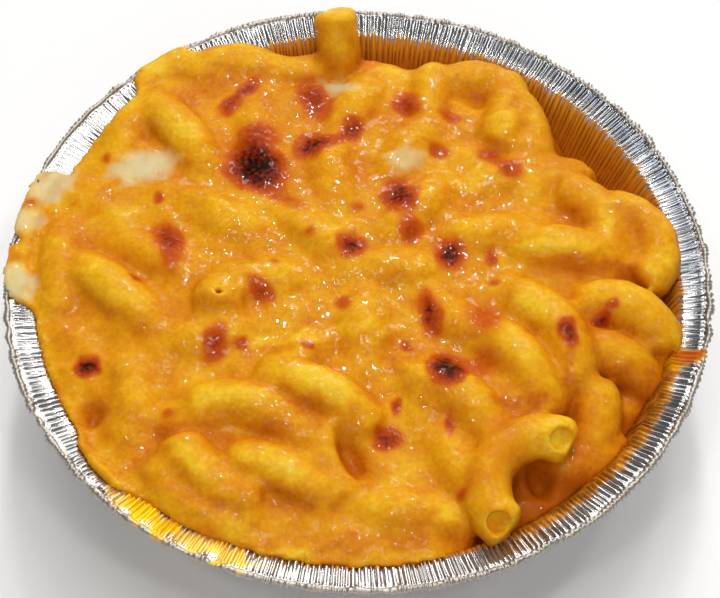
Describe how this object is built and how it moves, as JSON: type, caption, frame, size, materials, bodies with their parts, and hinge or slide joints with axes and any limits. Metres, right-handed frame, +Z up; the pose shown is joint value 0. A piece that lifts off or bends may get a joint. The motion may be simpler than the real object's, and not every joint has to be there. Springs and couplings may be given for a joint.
{
  "type": "mac and cheese",
  "caption": "Baked macaroni and cheese, a mounded heap of elbow pasta under melted, browned cheese in a round dish of pleated foil.",
  "frame": {"origin": "centre of the dish's flat underside", "axes": "+Z up; +Y to the far side, where the macaroni has drawn back from the wall; +X right"},
  "size_m": [0.127, 0.127, 0.0408],
  "materials": {
    "foil": "bright pleated foil",
    "cheese": "glossy melted cheese sauce, golden yellow, with dark brown baked spots"
  },
  "bodies": {
    "root": {"foil_dish": "foil", "macaroni_heap": "cheese"}
  },
  "joints": []
}
